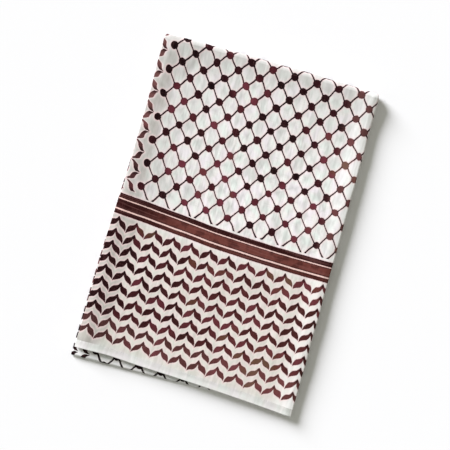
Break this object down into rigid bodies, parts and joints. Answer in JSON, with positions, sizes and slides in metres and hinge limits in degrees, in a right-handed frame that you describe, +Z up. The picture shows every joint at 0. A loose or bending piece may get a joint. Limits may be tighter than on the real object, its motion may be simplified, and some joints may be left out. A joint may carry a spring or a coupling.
{
  "type": "folded hijab",
  "caption": "Long rectangular voile hijab with a keffiyeh print, folded flat into a rectangular packet: net above, stripe band, rows of leaves and a plain hem.",
  "frame": {"origin": "middle of the underside of the folded packet's box", "axes": "+Z up, +Y along the packet from the loose ends to the top fold, +X across it from the turned-in borders to the cloth's own middle fold"},
  "size_m": [0.3272, 0.483, 0.0168],
  "materials": {
    "printed_voile": "thin matt off-white voile with a dark maroon print of net, stripes and leaves",
    "plain_hem": "unprinted off-white voile, turned twice and stitched",
    "inner_voile": "the same printed voile, seen only at its folded edges"
  },
  "bodies": {
    "root": {"first_end_panel": "printed_voile", "first_end_hem": "plain_hem", "second_end_panel": "printed_voile", "second_end_hem": "plain_hem", "under_panel": "printed_voile", "hidden_layers": "inner_voile"}
  },
  "joints": []
}
